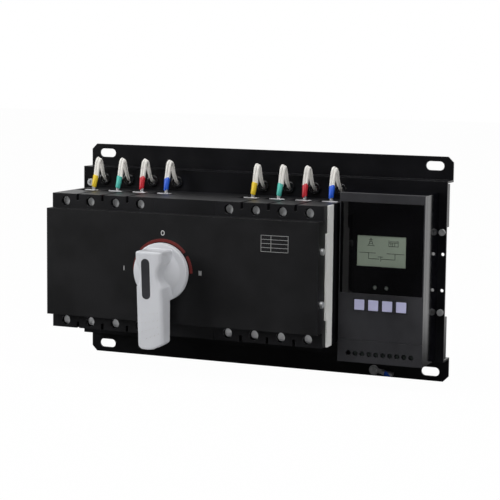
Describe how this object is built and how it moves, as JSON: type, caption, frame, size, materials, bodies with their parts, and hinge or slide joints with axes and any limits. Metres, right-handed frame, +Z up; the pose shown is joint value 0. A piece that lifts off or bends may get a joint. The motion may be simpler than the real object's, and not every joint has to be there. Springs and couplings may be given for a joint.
{
  "type": "automatic transfer switch",
  "caption": "Two four-pole breakers side by side on a steel plate, thrown in turn by a motor mechanism or a front handle, with a keyed display controller beside them",
  "frame": {"origin": "Centre of the base plate's mounting plane, where its flanges rest on the wall", "axes": "+X to the right as seen from the front, +Z up, +Y into the wall; the front faces -Y"},
  "size_m": [0.428, 0.1584, 0.24],
  "materials": {
    "plate_paint": "semi-gloss black powder coat",
    "cover_paint": "fine-textured black coat",
    "moulding": "black thermoset moulding",
    "bare_steel": "bright zinc-plated",
    "gear_plastic": "natural nylon",
    "motor_body": "plated steel can",
    "handle_silver": "silver-grey paint on a moulding",
    "handle_inset": "dark grey",
    "insulator": "white sheet",
    "controller_black": "glossy black",
    "controller_grey": "fine-textured dark grey",
    "window_black": "high-gloss black",
    "board": "green solder mask",
    "display": "reflective liquid-crystal display",
    "cable_jacket": "black jacket",
    "tinned": "tinned copper",
    "toggle": "black",
    "contact_copper": "copper arms on a black bar",
    "trip_red": "red",
    "sleeving": "white braided sleeving",
    "zinc": "bright zinc plate",
    "key": "pale lavender",
    "indicator": "clear lens"
  },
  "bodies": {
    "frame": {"base_plate": "plate_paint", "normal_breaker_base": "moulding", "normal_breaker_cover": "moulding", "reserve_breaker_base": "moulding", "reserve_breaker_cover": "moulding", "side_insulator": "insulator", "mechanism_housing": "moulding", "mechanism_plate": "bare_steel", "gear_motor": "motor_body", "normal_position_switch": "moulding", "reserve_position_switch": "moulding", "front_cover": "cover_paint", "shaft_bush": "gear_plastic", "cover_screw_left_upper": "zinc", "cover_screw_left_lower": "zinc", "cover_screw_right_upper": "zinc", "cover_screw_right_lower": "zinc", "controller_base": "controller_black", "controller_front": "controller_grey", "controller_window": "window_black", "terminal_cover": "controller_grey", "terminal_block": "moulding", "circuit_board": "board", "power_transformer": "motor_body", "lcd_panel": "display", "indicator_1": "indicator", "indicator_2": "indicator", "normal_sense_lead_1": "sleeving", "normal_sense_lead_2": "sleeving", "normal_sense_lead_3": "sleeving", "normal_sense_lead_4": "sleeving", "reserve_sense_lead_1": "sleeving", "reserve_sense_lead_2": "sleeving", "reserve_sense_lead_3": "sleeving", "reserve_sense_lead_4": "sleeving", "sense_loom": "cable_jacket", "mechanism_cable": "cable_jacket", "earth_lug": "tinned", "earth_screw": "zinc", "plate_screw_upper": "zinc", "plate_screw_lower": "zinc", "plate_screw_left": "zinc"},
    "handle": {"handle": "handle_silver", "handle_inset": "handle_inset", "handle_shaft": "bare_steel", "drive_gear": "gear_plastic"},
    "pinion": {"motor_pinion": "bare_steel"},
    "slide": {"slide_plate": "bare_steel"},
    "normal_toggle": {"normal_breaker_toggle": "toggle"},
    "normal_carriage": {"normal_carriage": "bare_steel"},
    "normal_contacts": {"normal_contact_bar": "contact_copper"},
    "normal_trip": {"normal_trip_button": "trip_red"},
    "reserve_toggle": {"reserve_breaker_toggle": "toggle"},
    "reserve_carriage": {"reserve_carriage": "bare_steel"},
    "reserve_contacts": {"reserve_contact_bar": "contact_copper"},
    "reserve_trip": {"reserve_trip_button": "trip_red"},
    "key_1": {"key_1": "key"},
    "key_2": {"key_2": "key"},
    "key_3": {"key_3": "key"},
    "key_4": {"key_4": "key"}
  },
  "joints": [
    {"name": "handle_turn", "type": "hinge", "parent": "frame", "child": "handle", "pos_m": [-0.0663, -0.125, -0.0045], "axis": [0, 1, 0], "range_deg": [-90, 90]},
    {"name": "pinion_turn", "type": "hinge", "parent": "frame", "child": "pinion", "pos_m": [-0.03815, -0.102, 0.01175], "axis": [0, 1, 0], "range_deg": [-301, 301]},
    {"name": "slide_shift", "type": "slide", "parent": "frame", "child": "slide", "axis": [-1, 0, 0], "range_m": [-0.0217, 0.0217]},
    {"name": "normal_carriage_lift", "type": "slide", "parent": "frame", "child": "normal_carriage", "axis": [0, 0, 1], "range_m": [0, 0.01935]},
    {"name": "normal_toggle_swing", "type": "hinge", "parent": "frame", "child": "normal_toggle", "pos_m": [-0.145, -0.072, -0.0015], "axis": [-1, 0, 0], "range_deg": [0, 44.1]},
    {"name": "normal_contacts_close", "type": "hinge", "parent": "frame", "child": "normal_contacts", "pos_m": [-0.145, -0.05, -0.008], "axis": [-1, 0, 0], "range_deg": [0, 30.1]},
    {"name": "normal_trip_press", "type": "slide", "parent": "frame", "child": "normal_trip", "axis": [0, 1, 0], "range_m": [0, 0.002], "stiffness_N_per_m": 1500, "springref_m": -0.0005},
    {"name": "reserve_carriage_lift", "type": "slide", "parent": "frame", "child": "reserve_carriage", "axis": [0, 0, 1], "range_m": [0, 0.01935]},
    {"name": "reserve_toggle_swing", "type": "hinge", "parent": "frame", "child": "reserve_toggle", "pos_m": [0.0485, -0.072, -0.0015], "axis": [-1, 0, 0], "range_deg": [0, 44.1]},
    {"name": "reserve_contacts_close", "type": "hinge", "parent": "frame", "child": "reserve_contacts", "pos_m": [0.0485, -0.05, -0.008], "axis": [-1, 0, 0], "range_deg": [0, 30.1]},
    {"name": "reserve_trip_press", "type": "slide", "parent": "frame", "child": "reserve_trip", "axis": [0, 1, 0], "range_m": [0, 0.002], "stiffness_N_per_m": 1500, "springref_m": -0.0005},
    {"name": "key_1_press", "type": "slide", "parent": "frame", "child": "key_1", "axis": [0, 1, 0], "range_m": [0, 0.001], "stiffness_N_per_m": 2000, "springref_m": -0.0005},
    {"name": "key_2_press", "type": "slide", "parent": "frame", "child": "key_2", "axis": [0, 1, 0], "range_m": [0, 0.001], "stiffness_N_per_m": 2000, "springref_m": -0.0005},
    {"name": "key_3_press", "type": "slide", "parent": "frame", "child": "key_3", "axis": [0, 1, 0], "range_m": [0, 0.001], "stiffness_N_per_m": 2000, "springref_m": -0.0005},
    {"name": "key_4_press", "type": "slide", "parent": "frame", "child": "key_4", "axis": [0, 1, 0], "range_m": [0, 0.001], "stiffness_N_per_m": 2000, "springref_m": -0.0005}
  ],
  "couplings": [
    {"joint": "pinion_turn", "follows": "handle_turn", "ratio": -3.3333},
    {"joint": "slide_shift", "follows": "handle_turn", "m_per_rad": 0.01375},
    {"joint": "normal_toggle_swing", "follows": "normal_carriage_lift", "rad_per_m": 39.681},
    {"joint": "normal_contacts_close", "follows": "normal_carriage_lift", "rad_per_m": 27.055},
    {"joint": "reserve_toggle_swing", "follows": "reserve_carriage_lift", "rad_per_m": 39.681},
    {"joint": "reserve_contacts_close", "follows": "reserve_carriage_lift", "rad_per_m": 27.055}
  ]
}
